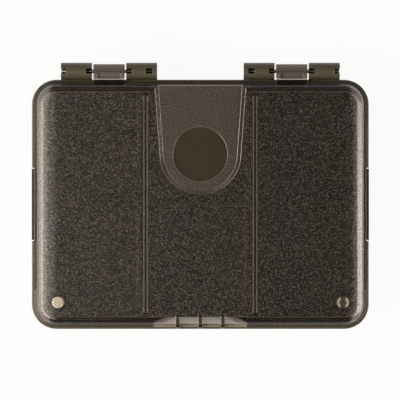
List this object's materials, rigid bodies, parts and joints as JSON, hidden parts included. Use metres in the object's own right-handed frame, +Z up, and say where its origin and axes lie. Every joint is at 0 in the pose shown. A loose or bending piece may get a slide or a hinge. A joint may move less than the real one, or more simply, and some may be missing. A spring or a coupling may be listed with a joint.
{
  "type": "tackle box",
  "caption": "Compact hinged tackle box in translucent plastic: a lid with a thumb scoop and a recessed tongue over a tray divided into small compartments.",
  "frame": {"origin": "middle of the flat underside, below the middle of the base's rim", "axes": "+X along the box, +Y to the hinges at the back, +Z up out of the lid"},
  "size_m": [0.105, 0.0829, 0.024],
  "materials": {
    "tray_plastic": "olive translucent moulded plastic, satin",
    "lid_plastic": "smoke-brown translucent moulded plastic, fine spark-textured panel",
    "pin_steel": "bright drawn wire",
    "magnet_nickel": "nickel plate"
  },
  "bodies": {
    "base": {"base_tray": "tray_plastic", "hinge_pin_left": "pin_steel", "hinge_pin_right": "pin_steel", "base_magnet_left": "magnet_nickel", "base_magnet_right": "magnet_nickel"},
    "lid": {"lid": "lid_plastic", "lid_magnet_left": "magnet_nickel", "lid_magnet_right": "magnet_nickel"}
  },
  "joints": [
    {"name": "lid_hinge", "type": "hinge", "parent": "base", "child": "lid", "pos_m": [0, 0.0415, 0.0175], "axis": [-1, 0, 0], "range_deg": [0, 180]}
  ]
}
